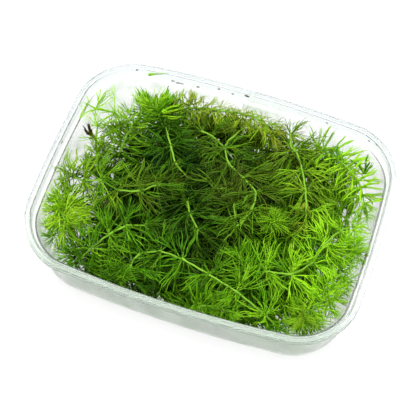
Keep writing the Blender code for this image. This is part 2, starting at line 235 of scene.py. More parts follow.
class TubSettings(bpy.types.PropertyGroup):
    """Sizes and finish of the clear tub."""
    length: length_setting("Length", "Rim's length before its sides bow out", 0.172)
    width: length_setting("Width", "Rim's width before its sides bow out", 0.1228)
    radius: length_setting("Corner radius", "Radius of the rim's corners", 0.026)
    height: length_setting("Height", "Height of the rim above the table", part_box("tub")[1].z)
    wall: length_setting("Wall", "Thickness of the plastic", 0.0008)
    flange: length_setting("Flange", "Width of the flat rim", 0.0034)
    ledge_inset: length_setting("Ledge inset", "Inner edge of the ledge, from the rim's edge", 0.00575)
    ledge_height: length_setting("Ledge height", "Height of the ledge above the table", 0.0321)
    # The plastic colour is darker than the walls' colour as painted shade on the rim and skirt; the film
    # colour also gives the front wall its painted shade, and the floor's dark colour is painted shade in the
    # middle of the tub's floor
    colour: colour_setting("Plastic", "Colour of the plastic", (0.885, 0.925, 0.93))
    clear: colour_setting("Walls", "Colour of the thinner plastic of the walls", (0.985, 0.99, 0.99))
    film_and_shade: colour_setting("Film", "Colour of the green film on the walls", (0.52, 0.655, 0.49))
    floor_shade: colour_setting("Sediment", "Colour of the dirt on the tub's floor", (0.035, 0.070, 0.010))
    roughness: FloatProperty(name="Roughness", description="Roughness of the clean plastic",
                             default=0.16, subtype="FACTOR")


class HornwortSettings(bpy.types.PropertyGroup):
    """Sizes and colours of the stems and leaves."""
    stem_radius: length_setting("Stem radius", "Radius of a stem between its whorls", 0.00050)
    node_radius: length_setting("Node radius", "Radius of a stem where leaves grow", 0.00088)
    leaf_radius: length_setting("Leaf radius", "Radius of a leaf at its foot", 0.00036)
    tip_radius: length_setting("Tip radius", "Radius of a leaf near its tips", 0.00020)
    flutter: length_setting("Flutter", "How far the leaf tips wander", 0.0085)
    seed: IntProperty(name="Seed", description="Seed of everything random in the leaves", default=11)
    # The dark colour is reached by the stems' own darker leaves and by painted shade low down and in the
    # tangle's middle; the bright colour by the stems' own lighter leaves and by painted light high up
    dark: colour_setting("Dark leaves", "Colour of the old, deep leaves", (0.010, 0.048, 0.0010))
    green: colour_setting("Green leaves", "Colour of the full-grown leaves", (0.100, 0.330, 0.003))
    bright: colour_setting("Bright leaves", "Colour of the young leaves", (0.38, 0.81, 0.014))
    olive: colour_setting("Olive leaves", "Colour of the tired leaves", (0.38, 0.44, 0.030))
    brown: colour_setting("Brown leaves", "Colour of dead tips and spots on nodes", (0.040, 0.024, 0.006))
    stem: colour_setting("Stems", "Colour of the stems", (0.22, 0.48, 0.03))


class StageSettings(bpy.types.PropertyGroup):
    """Camera, floor and light."""
    azimuth: angle_setting("Azimuth", "Direction that the camera looks from", 18.34)
    elevation: angle_setting("Elevation", "Height of the camera above the horizon", 61.96)
    roll: angle_setting("Roll", "Turn of the camera about its own axis", 0.65)
    distance: length_setting("Distance", "From the camera to its target", 0.5875)
    target_x: length_setting("Target X", "Target on the rim's plane", 0.0018)
    target_y: length_setting("Target Y", "Target on the rim's plane", -0.00906)
    lens: FloatProperty(name="Lens", description="Focal length in mm on a 36 mm sensor", default=99.4)
    world_light: FloatProperty(name="Room light", description="Strength of the even light", default=0.98)
    lamp_power: FloatProperty(name="Lamp", description="Power of the soft lamp in watts", default=6.0)
    lamp_size: length_setting("Lamp size", "Width of the soft lamp", 0.7)
    floor: colour_setting("Floor", "Colour of the floor", (0.40, 0.40, 0.40))
    floor_size: length_setting("Floor size", "From the middle of the floor to its edge", 3.0)
    glow: FloatProperty(name="Floor glow", description="Light that the floor gives off", default=0.70)


# Shader and geometry node helpers

class Value:
    """A number socket that takes part in Python expressions and adds Math nodes as it goes."""

    def __init__(self, tree, socket):
        self.tree = tree
        self.socket = socket

    def _math(self, operation, *terms):
        node = self.tree.nodes.new("ShaderNodeMath")
        node.operation = operation
        for slot, term in zip(node.inputs, terms):
            feed(self.tree, slot, term)
        return Value(self.tree, node.outputs[0])

    def __add__(self, other):
        return self._math("ADD", self, other)

    def __sub__(self, other):
        return self._math("SUBTRACT", self, other)

    def __mul__(self, other):
        return self._math("MULTIPLY", self, other)

    def __rsub__(self, other):
        return self._math("SUBTRACT", other, self)

    __radd__ = __add__
    __rmul__ = __mul__

    def between(self, low, high):
        """0 below low, 1 above high, and even in between."""
        node = self.tree.nodes.new("ShaderNodeMapRange")
        feed(self.tree, node.inputs["Value"], self)
        node.inputs["From Min"].default_value = low
        node.inputs["From Max"].default_value = high
        return Value(self.tree, node.outputs["Result"])


def feed(tree, slot, term):
    """Give a socket a value, or link it."""
    if isinstance(term, Value):
        tree.links.new(term.socket, slot)
    elif isinstance(term, bpy.types.NodeSocket):
        tree.links.new(term, slot)
    else:
        slot.default_value = term


def add_node(tree, kind, settings=None, inputs=None):
    """A node with its settings first and then its inputs. The stops of a ramp count as a setting."""
    node = tree.nodes.new(kind)
    for key, value in (settings or {}).items():
        setattr(node, key, value)
    for key, value in (inputs or {}).items():
        feed(tree, node.inputs[key], value)
    return node


def new_finish(name, colour):
    """A material with its tree and its Principled shader."""
    material = bpy.data.materials.new(name)
    material.use_nodes = True
    material.diffuse_color = (*colour, 1.0)
    shader = material.node_tree.nodes["Principled BSDF"]
    return material, material.node_tree, shader


def set_shader(shader, **values):
    for key, value in values.items():
        shader.inputs[key.replace("_", " ")].default_value = value


def attribute(tree, name):
    node = add_node(tree, "ShaderNodeAttribute", {"attribute_name": name})
    return Value(tree, node.outputs["Fac"])


def noise(tree, scale, detail=2.0):
    place = add_node(tree, "ShaderNodeTexCoord")
    node = add_node(tree, "ShaderNodeTexNoise", None,
                    {"Vector": place.outputs["Object"], "Scale": scale, "Detail": detail})
    return Value(tree, node.outputs["Fac"])


def coordinates(tree):
    """The X, Y and Z of a point on its piece, in metres."""
    place = add_node(tree, "ShaderNodeTexCoord")
    parts = add_node(tree, "ShaderNodeSeparateXYZ", None, {"Vector": place.outputs["Object"]})
    return [Value(tree, parts.outputs[axis]) for axis in "XYZ"]


def oval(x, y, centre, half):
    """0 at a centre and 1 on an oval about it whose half widths are given, rising with the square."""
    across = (x - centre[0]) * (1 / half[0])
    deep = (y - centre[1]) * (1 / half[1])
    return across * across + deep * deep


def blend_colours(tree, share, first, second):
    node = add_node(tree, "ShaderNodeMix", {"data_type": "RGBA", "clamp_factor": True})
    feed(tree, node.inputs[0], share)
    feed(tree, node.inputs[6], first)
    feed(tree, node.inputs[7], second)
    return node.outputs[2]


# Finishes

# Places in metres where the looks change: heights where the walls' lighter colour gives way to the rim's
# darker one, a painted shade, and where the painted shade on the tub's floor ends, Y where the painted shade
# on the front wall fades, the oval of the floor's painted shade and the oval about the leaves' painted-shade
# middle, each as its centre and half widths, and heights from which and to which the leaves' painted shade
# lifts
WALL_TOP = (0.031, 0.035)
FLOOR_SHADE_TOP = (0.001, 0.003)
FRONT_WALL = (-0.064, -0.030)
FLOOR_SHADE_OVAL = ((0.0, 0.0), (0.070, 0.050))
DARK_OVAL = ((-0.018, 0.004), (0.072, 0.056))
LIT_HEIGHTS = (0.006, 0.034)


def plastic_finish(settings):
    """Clear plastic, darker at the rim as painted shade, with a green film on its walls, green painted shade
    on the front wall and dark painted shade in the middle of its floor.
    """
    material, tree, shader = new_finish("clear tub plastic", settings.colour)
    set_shader(shader, Transmission_Weight=0.88, IOR=1.4, Specular_IOR_Level=0.5)
    x, y, z = coordinates(tree)
    smudges = noise(tree, 45.0, 4.0).between(0.42, 0.72)
    # Painted shade: the rim and skirt keep the darker plastic colour, the walls below take the lighter one
    wall = 1 - z.between(*WALL_TOP)
    blotches = noise(tree, 70.0, 3.0).between(0.45, 0.7) * wall
    # Painted shade: more of the green film colour on the front wall
    front = 1 - y.between(*FRONT_WALL)
    clean = blend_colours(tree, wall, (*settings.colour, 1.0), (*settings.clear, 1.0))
    film_and_shade = blend_colours(tree, blotches * 0.45 + front * 0.58, clean, (*settings.film_and_shade, 1.0))
    # Painted shade: a dark colour in the middle of the tub's floor, under the leaves
    middle = 1 - oval(x, y, *FLOOR_SHADE_OVAL).between(0.35, 0.9)
    bottom = middle * (1 - z.between(*FLOOR_SHADE_TOP))
    coloured = blend_colours(tree, bottom, film_and_shade, (*settings.floor_shade, 1.0))
    feed(tree, shader.inputs["Base Color"], coloured)
    feed(tree, shader.inputs["Roughness"], settings.roughness + smudges * 0.1 - wall * 0.06)
    return material


def hornwort_finish(settings):
    """Leaves and stems, coloured by each leaf's attributes, with painted shade that darkens them low down and
    in the middle of the tub.
    """
    material, tree, shader = new_finish("hornwort leaves", settings.bright)
    patches = noise(tree, 220.0, 2.0).between(0.3, 0.7)
    x, y, z = coordinates(tree)
    # Painted shade: leaves are darker low down and in the middle of the tub, lighter near its walls, and
    # their olive and stem colours fade in the shade too
    wall = oval(x, y, *DARK_OVAL).between(0.15, 0.80)
    height = z.between(*LIT_HEIGHTS)
    light = height + (1 - height) * wall * 0.8
    tone = (attribute(tree, "tone") + (patches - 0.5) * 0.2) * (0.12 + light * (0.67 + wall * 0.21))
    old = blend_colours(tree, tone * 2, (*settings.dark, 1.0), (*settings.green, 1.0))
    fresh = blend_colours(tree, tone * 2 - 1, old, (*settings.bright, 1.0))
    faded = attribute(tree, "olive") * light * (0.44 + wall * 0.36)
    tired = blend_colours(tree, faded, fresh, (*settings.olive, 1.0))
    along = attribute(tree, "along")
    foot = 1 - along.between(0.0, 0.22)
    pale = blend_colours(tree, (attribute(tree, "woody") + foot * 0.45) * light, tired, (*settings.stem, 1.0))
    brown = attribute(tree, "brown") * patches + attribute(tree, "dead") * along.between(0.3, 0.75)
    spotted = blend_colours(tree, brown, pale, (*settings.brown, 1.0))
    feed(tree, shader.inputs["Base Color"], spotted)
    feed(tree, shader.inputs["Roughness"], 0.32 + patches * 0.18)
    set_shader(shader, Specular_IOR_Level=0.14)
    return material


def leaf_finish():
    """The hornwort's finish, made once."""
    return bpy.data.materials.get("hornwort leaves") or hornwort_finish(bpy.context.scene.hornwort)


def dirt_finish():
    material, tree, shader = new_finish("dirt", (0.08, 0.10, 0.05))
    colour = blend_colours(tree, noise(tree, 900.0).between(0.3, 0.7), (0.06, 0.08, 0.03, 1.0),
                           (0.18, 0.22, 0.10, 1.0))
    feed(tree, shader.inputs["Base Color"], colour)
    set_shader(shader, Roughness=0.6)
    return material


# Pieces

def link_object(name, mesh):
    item = bpy.data.objects.new(name, mesh)
    bpy.context.scene.collection.objects.link(item)
    return item


def skin(builder, rings):
    """Faces from ring to ring of vertices, with a cap on the first and on the last."""
    for lower, upper in zip(rings, rings[1:]):
        count = len(lower)
        for corner in range(count):
            following = (corner + 1) % count
            builder.faces.new((lower[corner], lower[following], upper[following], upper[corner]))
    builder.faces.new(list(reversed(rings[0])))
    builder.faces.new(rings[-1])


def finished_mesh(name, builder, finish=None):
    """A smooth mesh of what the builder holds, with its faces pointing outwards."""
    bmesh.ops.recalc_face_normals(builder, faces=builder.faces[:])
    mesh = bpy.data.meshes.new(name)
    builder.to_mesh(mesh)
    builder.free()
    if finish:
        mesh.materials.append(finish)
    mesh.shade_smooth()
    return mesh


def settle(piece, slot, *nodes):
    """Fix a finished piece to the body and hide the solids that it stands for. The slot is not used."""
    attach(piece, ROOT)
    if nodes:
        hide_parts(*nodes)
    return piece


# Tub

BASE_INSET = 6.13
BASE_EDGE_RADIUS = 3.0
BASE_EXTRA_RADIUS = 2.4
RIM_BOW = (5.85, 2.63)
BASE_BOW = (4.65, 3.11)
SKIRT_BOTTOM = 34.0
STEP_DRAFT = 0.3
GROOVE = 0.16
LIP_WIDTH = 0.8


def tub_outline(tub, inset, height, corner_steps, long_steps, short_steps):
    """Outline of the tub in millimetres at an inset from the rim's edge and a height."""
    rise = height / (tub.height / MM)
    half_length = tub.length / MM / 2 - inset
    half_width = tub.width / MM / 2 - inset
    radius = tub.radius / MM - inset + BASE_EXTRA_RADIUS * (1 - rise)
    bow_long, bow_short = (low + (high - low) * rise for low, high in zip(BASE_BOW, RIM_BOW))
    arcs = []
    for quarter, (sign_x, sign_y) in enumerate(((1, 1), (-1, 1), (-1, -1), (1, -1))):
        centre = (sign_x * (half_length - radius), sign_y * (half_width - radius))
        angles = [math.pi / 2 * (quarter + step / corner_steps) for step in range(corner_steps + 1)]
        arcs.append([(centre[0] + radius * math.cos(a), centre[1] + radius * math.sin(a)) for a in angles])
    plain = []
    for quarter, arc in enumerate(arcs):
        start = np.array(arc[-1])
        end = np.array(arcs[(quarter + 1) % 4][0])
        steps = long_steps if quarter % 2 == 0 else short_steps
        plain += arc + [tuple(start + (end - start) * step / steps) for step in range(1, steps)]
    points = np.array(plain)
    x, y = points[:, 0] / half_length, points[:, 1] / half_width
    points[:, 0] += np.sign(x) * bow_short * (1 - y ** 2) * x ** 2
    points[:, 1] += np.sign(y) * bow_long * (1 - x ** 2) * y ** 2
    return points


def rounded_profile(corners, steps=4):
    """Turn (inset, height, radius) corners into a line whose corners are rounded."""
    line = []
    for index, (inset, height, radius) in enumerate(corners):
        here = np.array([inset, height])
        if radius == 0 or index in (0, len(corners) - 1):
            line.append(here)
            continue
        before = np.array(corners[index - 1][:2]) - here
        after = np.array(corners[index + 1][:2]) - here
        start = here + before / np.linalg.norm(before) * radius
        end = here + after / np.linalg.norm(after) * radius
        for step in range(steps + 1):
            t = step / steps
            line.append((1 - t) ** 2 * start + 2 * t * (1 - t) * here + t ** 2 * end)
    return line


def tub_profile(tub):
    """Section of the tub, from the underside up the outside and down the inside."""
    top = tub.height / MM
    wall = tub.wall / MM
    flange = tub.flange / MM
    step = flange + STEP_DRAFT
    ledge = tub.ledge_inset / MM
    ledge_top = tub.ledge_height / MM
    return rounded_profile([
        (BASE_INSET + 2 * BASE_EDGE_RADIUS, 0.0, 0),
        (BASE_INSET, 0.0, BASE_EDGE_RADIUS),
        (ledge - wall, ledge_top - wall, 0.5),
        (step - wall, ledge_top - wall, 0.4),
        (flange - wall, top - wall, 0.3),
        (wall, top - wall, 0.25),
        (wall, SKIRT_BOTTOM, 0.2),
        (0.0, SKIRT_BOTTOM, 0.2),
        (0.0, SKIRT_BOTTOM + 0.9, 0.15),
        (GROOVE, SKIRT_BOTTOM + 1.2, 0.15),
        (GROOVE, top - 1.3, 0.15),
        (0.0, top - 1.0, 0.15),
        (0.0, top, 0.4),
        (LIP_WIDTH, top, 0.2),
        (LIP_WIDTH + 0.3, top - GROOVE, 0.15),
        (flange, top - GROOVE, 0.6),
        (step, ledge_top, 0.5),
        (ledge, ledge_top, 0.6),
        (BASE_INSET + wall, wall, BASE_EDGE_RADIUS - 0.4),
        (BASE_INSET + wall + 2 * BASE_EDGE_RADIUS, wall, 0),
    ])


def make_tub(tub):
    builder = bmesh.new()
    rings = []
    for inset, height in tub_profile(tub):
        outline = tub_outline(tub, inset, height, 14, 26, 18)
        rings.append([builder.verts.new((x * MM, y * MM, height * MM)) for x, y in outline])
    skin(builder, rings)
    mesh = finished_mesh("clear_tub", builder, plastic_finish(tub))
    mesh.set_sharp_from_angle(angle=math.radians(40))
    return settle(link_object("clear_tub", mesh), "clear_plastic", "tub")


# Inside of the tub

# In mm: the height under which all leaves are pressed, the height under which a whorl counts as low,
# and the least distance that the points of a leaf keep from the walls and floor
CEILING = 42.5
LOW_STEM = 33.5
WALL_GAP = 0.3


def inner_inset(tub, height):
    """Inset of the inner wall at a height, in millimetres."""
    ledge_top = tub.ledge_height / MM
    if height > ledge_top + 0.8:
        return tub.flange / MM + STEP_DRAFT
    ledge = tub.ledge_inset / MM
    draft = (BASE_INSET + tub.wall / MM - ledge) * (1 - height / ledge_top)
    return ledge + draft + max(0.0, BASE_EDGE_RADIUS - height)


class TubRoom:
    """The space inside the tub, as walls that a point can be measured against."""
    def __init__(self, tub, slices=24):
        self.top = tub.height / MM
        self.floor = tub.wall / MM
        self.walls = []
        for number in range(slices + 1):
            height = self.top * number / slices
            outline = tub_outline(tub, inner_inset(tub, height), height, 5, 8, 5)
            along = np.roll(outline, -1, axis=0) - outline
            normal = np.stack([along[:, 1], -along[:, 0]], axis=1)
            self.walls.append((outline, normal / np.linalg.norm(normal, axis=1)[:, None]))
        self.slices = slices

    def push_in(self, points, gap):
        """Move points in millimetres so that they are at least a gap inside the walls and floor."""
        points = points.copy()
        points[:, 2] = np.maximum(points[:, 2], self.floor + gap)
        layer = np.clip(np.round(points[:, 2] / self.top * self.slices), 0, self.slices).astype(int)
        for number in range(self.slices + 1):
            chosen = np.nonzero(layer == number)[0]
            outline, normal = self.walls[number]
            for start in range(0, len(chosen), 4000):
                part = chosen[start:start + 4000]
                for _ in range(2):
                    depth = ((points[part, None, :2] - outline[None]) * normal[None]).sum(axis=2)
                    worst = depth.argmax(axis=1)
                    over = np.maximum(depth.max(axis=1) + gap, 0.0)
                    points[part, :2] -= normal[worst] * over[:, None]
        return points

    def outside(self, points, gap):
        """True for each point that is nearer to the walls or floor than a gap."""
        moved = self.push_in(points, gap)
        return np.abs(moved - points).max(axis=1) > 1e-6


# Stems

def smooth_route(points):
    """Points about a millimetre apart on a smooth curve through the given points."""
    knots = [np.array(point, dtype=float) for point in points]
    knots = [2 * knots[0] - knots[1]] + knots + [2 * knots[-1] - knots[-2]]
    samples = []
    for before, start, end, after in zip(knots, knots[1:], knots[2:], knots[3:]):
        steps = max(2, round(float(np.linalg.norm(end - start))))
        for step in range(steps):
            t = step / steps
            samples.append(0.5 * (2 * start + (end - before) * t
                                  + (2 * before - 5 * start + 4 * end - after) * t ** 2
                                  + (3 * start - before - 3 * end + after) * t ** 3))
    samples.append(knots[-2])
    return np.array(samples)


def unit(vector):
    return vector / max(float(np.linalg.norm(vector)), 1e-9)


# How far a stem's line is pulled straight between its points (1 is straight), its waver and the
# length of its tapered tip in mm, and the sides of a stem and of a leaf
KINK = 0.45
WOBBLE = 0.14
TAPER = 8.0
STEM_SIDES = 8
LEAF_SIDES = 3


class Route:
    """A stem's centre line, a little bent at its nodes, with a frame at any distance along it."""
    def __init__(self, points):
        smooth = smooth_route(points)
        knots = np.array(points, dtype=float)
        nearest = np.array([np.linalg.norm(smooth - knot, axis=1).argmin() for knot in knots])
        steps = np.arange(len(smooth))
        straight = np.stack([np.interp(steps, nearest, knots[:, axis]) for axis in range(3)], axis=1)
        wobble = np.stack([np.sin(steps * 0.9 + shift) for shift in (0.0, 2.1, 4.2)], axis=1) * WOBBLE
        self.points = smooth + (straight - smooth) * KINK + wobble
        steps = np.linalg.norm(np.diff(self.points, axis=0), axis=1)
        self.lengths = np.concatenate([[0.0], np.cumsum(steps)])
        self.total = float(self.lengths[-1])
        self.knots = [float(self.lengths[np.linalg.norm(self.points - knot, axis=1).argmin()])
                      for knot in np.array(points, dtype=float)]

    def whorls(self, pitch):
        """Distances of the whorls: at the route's own points, or evenly spaced."""
        if pitch == 0:
            return [2.0] + self.knots[1:-1] + [self.total - 1.5]
        count = max(3, round((self.total - 4) / pitch) + 1)
        return [2.0 + (self.total - 3.0) * index / (count - 1) for index in range(count)]

    def place(self, distance):
        return np.array([np.interp(distance, self.lengths, self.points[:, axis]) for axis in range(3)])

    def frame(self, distance):
        """Centre, heading and two directions across it, the first as near upright as it can be."""
        heading = unit(self.place(distance + 1.5) - self.place(distance - 1.5))
        upright = np.array([0.0, 0.0, 1.0]) if abs(heading[2]) < 0.9 else np.array([0.0, 1.0, 0.0])
        up = unit(upright - heading * float(upright @ heading))
        return self.place(distance), heading, up, np.cross(heading, up)


def make_stem_tube(name, route, nodes, hornwort, tone, olive, finish):
    """The stem itself: a thin wavering tube, thicker at each node and tapered to its tip."""
    builder = bmesh.new()
    layers = {key: builder.verts.layers.float.new(key)
              for key in ("tone", "olive", "along", "woody", "brown")}
    rings = []
    count = max(6, round(route.total / 1.2))
    for number in range(count + 1):
        distance = route.total * number / count
        centre, heading, up, side = route.frame(distance)
        near = min(abs(distance - node) for node in nodes)
        swell = math.exp(-(near / 0.9) ** 2)
        taper = 1.0
        if distance >= route.total - TAPER:
            taper = 0.35 + 0.65 * (route.total - distance) / TAPER
        radius = (hornwort.stem_radius + (hornwort.node_radius - hornwort.stem_radius) * swell) / MM * taper
        ring = []
        for corner in range(STEM_SIDES):
            angle = 2 * math.pi * corner / STEM_SIDES
            wave = 1 + 0.08 * math.sin(3 * angle + distance)
            point = centre + (up * math.cos(angle) + side * math.sin(angle)) * radius * wave
            vertex = builder.verts.new(Vector(point) * MM)
            vertex[layers["tone"]] = min(1.0, tone + 0.2)
            vertex[layers["olive"]] = olive * 0.3
            vertex[layers["woody"]] = 1.0
            vertex[layers["brown"]] = swell * min(1.0, olive * 1.6)
            ring.append(vertex)
        rings.append(ring)
    skin(builder, rings)
    return link_object(name, finished_mesh(name, builder, finish))


def make_leaf_pattern(name, kind, hornwort, seed):
    """One forked leaf, one unit long: a strand up from the origin that splits into a narrow bundle."""
    rng = random.Random(seed)
    leaf = LEAVES[kind]
    forks = leaf["forks"] - (leaf["forks"] > 1 and rng.random() < 0.3)
    nominal = NOMINAL_LEAF * MM
    builder = bmesh.new()
    along_layer = builder.verts.layers.float.new("along")

    def radius_at(share):
        slim = hornwort.tip_radius + (hornwort.leaf_radius - hornwort.tip_radius) * (1 - share) ** 2
        point = 1.0 if share < 0.75 else 1.0 - 0.85 * (share - 0.75) / 0.25
        return slim * point * leaf["thick"] / nominal

    def tube(points, shares):
        rings = []
        for index, (point, share) in enumerate(zip(points, shares)):
            ahead = points[min(index + 1, len(points) - 1)] - points[max(index - 1, 0)]
            turn = ahead.to_track_quat("Z", "X")
            ring = []
            for corner in range(LEAF_SIDES):
                angle = 2 * math.pi * corner / LEAF_SIDES
                offset = Vector((math.cos(angle), math.sin(angle), 0)) * radius_at(share)
                vertex = builder.verts.new(point + turn @ offset)
                vertex[along_layer] = share
                ring.append(vertex)
            rings.append(ring)
        skin(builder, rings)

    def grow(start, heading, share, level):
        last = level == forks or (level > 0 and rng.random() < 0.15)
        if last:
            length = max(0.2, (1.0 - share) * rng.uniform(0.75, 1.0))
        else:
            length = (rng.uniform(0.10, 0.22), rng.uniform(0.08, 0.26), rng.uniform(0.08, 0.22))[level]
        steps = max(3, round(length * 9)) if last else 2
        points = [start]
        shares = [share]
        turn = rng.uniform(0, 2 * math.pi)
        sway = Vector((math.cos(turn), math.sin(turn), 0)) * leaf["wave"]
        phase = rng.uniform(0, 2 * math.pi)
        for step in range(steps):
            here = share + length * (step + 0.5) / steps
            bent = leaf["curl"] * here
            middle = Vector((math.sin(bent), 0, math.cos(bent)))
            heading = heading.lerp(middle, 0.3 * (1 - here)) + sway * math.sin(9 * here + phase) / steps
            heading.normalize()
            points.append(points[-1] + heading * length / steps)
            shares.append(min(1.0, share + length * (step + 1) / steps))
        if last:
            shares[-1] = 1.0
        tube(points, shares)
        if not last:
            spread = math.radians(rng.uniform(*leaf["spread"]))
            plane = rng.uniform(0, math.pi)
            axis = Vector((math.cos(plane), math.sin(plane), 0)).cross(heading).normalized()
            for sign in (-1, 1):
                turned = Matrix.Rotation(sign * spread * rng.uniform(0.6, 1.4), 3, axis) @ heading
                grow(points[-1] - heading * 0.01, turned, shares[-1], level + 1)

    grow(Vector((0, 0, 0)), Vector((0, 0, 1)), 0.0, 0)
    return bpy.data.objects.new(name, finished_mesh(name, builder))


def whorl_tree():
    """Geometry nodes that set forked leaves on points and let their tips flutter."""
    tree = bpy.data.node_groups.new("leaf whorls", "GeometryNodeTree")
    sockets = {"Geometry": "Geometry", "Leaf patterns": "Collection", "Flutter": "Float",
               "Flutter scale": "Float", "Finish": "Material"}
    for name, kind in sockets.items():
        tree.interface.new_socket(name, in_out="INPUT", socket_type="NodeSocket" + kind)
    tree.interface.new_socket("Geometry", in_out="OUTPUT", socket_type="NodeSocketGeometry")
    given = tree.nodes.new("NodeGroupInput").outputs
    taken = tree.nodes.new("NodeGroupOutput").inputs

    def named(name, kind):
        node = add_node(tree, "GeometryNodeInputNamedAttribute", {"data_type": kind}, {"Name": name})
        return node.outputs["Attribute"]

    leaves = add_node(tree, "GeometryNodeCollectionInfo", None,
                      {"Collection": given["Leaf patterns"], "Separate Children": True,
                       "Reset Children": True})
    turn = add_node(tree, "FunctionNodeEulerToRotation", None, {"Euler": named("turn", "FLOAT_VECTOR")})
    placed = add_node(tree, "GeometryNodeInstanceOnPoints", None,
                      {"Points": given["Geometry"], "Instance": leaves.outputs["Instances"],
                       "Pick Instance": True, "Instance Index": named("pattern", "INT"),
                       "Rotation": turn.outputs["Rotation"], "Scale": named("size", "FLOAT_VECTOR")})
    solid = add_node(tree, "GeometryNodeRealizeInstances", None,
                     {"Geometry": placed.outputs["Instances"]})
    position = tree.nodes.new("GeometryNodeInputPosition")
    drift = add_node(tree, "ShaderNodeTexNoise", {"noise_dimensions": "3D"},
                     {"Vector": position.outputs["Position"], "Scale": given["Flutter scale"],
                      "Detail": 1.0})
    centred = add_node(tree, "ShaderNodeVectorMath", {"operation": "SUBTRACT"},
                       {0: drift.outputs["Color"], 1: (0.5, 0.5, 0.5)})
    reach = add_node(tree, "ShaderNodeMath", {"operation": "MULTIPLY"},
                     {0: named("along", "FLOAT"), 1: given["Flutter"]})
    offset = add_node(tree, "ShaderNodeVectorMath", {"operation": "SCALE"},
                      {0: centred.outputs["Vector"], "Scale": reach.outputs["Value"]})
    waved = add_node(tree, "GeometryNodeSetPosition", None,
                     {"Geometry": solid.outputs["Geometry"], "Offset": offset.outputs["Vector"]})
    finished = add_node(tree, "GeometryNodeSetMaterial", None,
                        {"Geometry": waved.outputs["Geometry"], "Material": given["Finish"]})
    feed(tree, taken["Geometry"], finished.outputs["Geometry"])
    return tree


# Tilts that a leaf tries when it meets something, and what share of its length is enough
RISES = (0.0, 0.5, 1.0, 1.7)
ENOUGH = 0.8

# The painted shade in the tangle's core as X, Y and size in mm, how much darker the leaves are painted there,
# and how much lighter they are painted high up, as painted light, and at the tub's ends
CORE = (-8.0, 6.0)
CORE_SIZE = 27.0
CORE_SHADE = 0.25
HIGH_LIGHT = 0.15
END_LIGHT = 0.62

# In mm: the height of leaves with their stem's own tone and how far above it they get the most painted light
# and below it the most painted shade, and where the tub's right and left ends start along X and how far on
# they are lightest
PLAIN_HEIGHT, HEIGHT_RANGE = 22.0, 18.0
RIGHT_END, RIGHT_RANGE = 15.0, 45.0
LEFT_END, LEFT_RANGE = -45.0, 30.0

# In mm: the growing tip where leaves are shorter, the least length of a leaf, how near to the walls
# any leaf may aim, and how near a low stem's leaf may aim where it reaches above the tub's ledge
YOUNG_END = 10.0
LEAST_LEAF = 2.5
LEAF_GAP = 0.6
LEDGE_GAP = 3.0

# Strays for each millimetre of an open stem, and how much nearer to other stems they may come
STRAYS = 0.45
STRAY_WEAVE = 25.0


def leaf_reach(foot, direction, bend, longest, low, route, others, weave, top, room):
    """Length in millimetres at which a leaf meets the walls, the ceiling or another stem's leaves."""
    lengths = np.arange(2.0, longest + 1.0, 1.0)[:, None]
    tips = foot + (direction + bend * 0.2) * lengths
    own_room = np.linalg.norm(tips[:, None] - route.points[None], axis=2).min(axis=1)
    other_room = np.linalg.norm(tips[:, None] - others[None], axis=2).min(axis=1)
    blocked = room.outside(tips, LEAF_GAP) | (other_room < own_room - weave) | (tips[:, 2] > top)
    if low:
        blocked |= (tips[:, 2] > LOW_STEM + 2) & room.outside(tips, LEDGE_GAP)
    return float(lengths[np.argmax(blocked), 0]) - 1.0 if blocked.any() else longest


def place_tone(centre, tone):
    """How much lighter or darker a whorl is because of its place: painted light high up, painted shade low
    down and in the tangle's core, and lighter leaves at the tub's ends.
    """
    high = float(np.clip((centre[2] - PLAIN_HEIGHT) / HEIGHT_RANGE, -1, 1))
    right = (centre[0] - RIGHT_END) / RIGHT_RANGE
    left = (LEFT_END - centre[0]) / LEFT_RANGE
    end = float(np.clip(max(right, left), 0, 1))
    core = ((centre[0] - CORE[0]) ** 2 + (centre[1] - CORE[1]) ** 2) / CORE_SIZE ** 2
    return HIGH_LIGHT * high + END_LIGHT * end * (1 - tone) - CORE_SHADE * math.exp(-core)


def roomiest_leaf(centre, direction, pull, longest, growth, route, others, room):
    """Length, foot, heading and bend of a leaf, tilted up as far as it needs to find room."""
    best = None
    for rise in RISES:
        aimed = unit(direction + np.array([0.0, 0.0, rise]))
        bend = unit(pull - aimed * float(pull @ aimed))
        foot = centre + aimed * 0.5
        reach = leaf_reach(foot, aimed, bend, longest, centre[2] < LOW_STEM, route, others,
                           growth["weave"], growth["top"], room)
        if best is None or reach > best[0] + 2.0:
            best = (reach, foot, aimed, bend)
        if reach > ENOUGH * longest:
            break
    return best


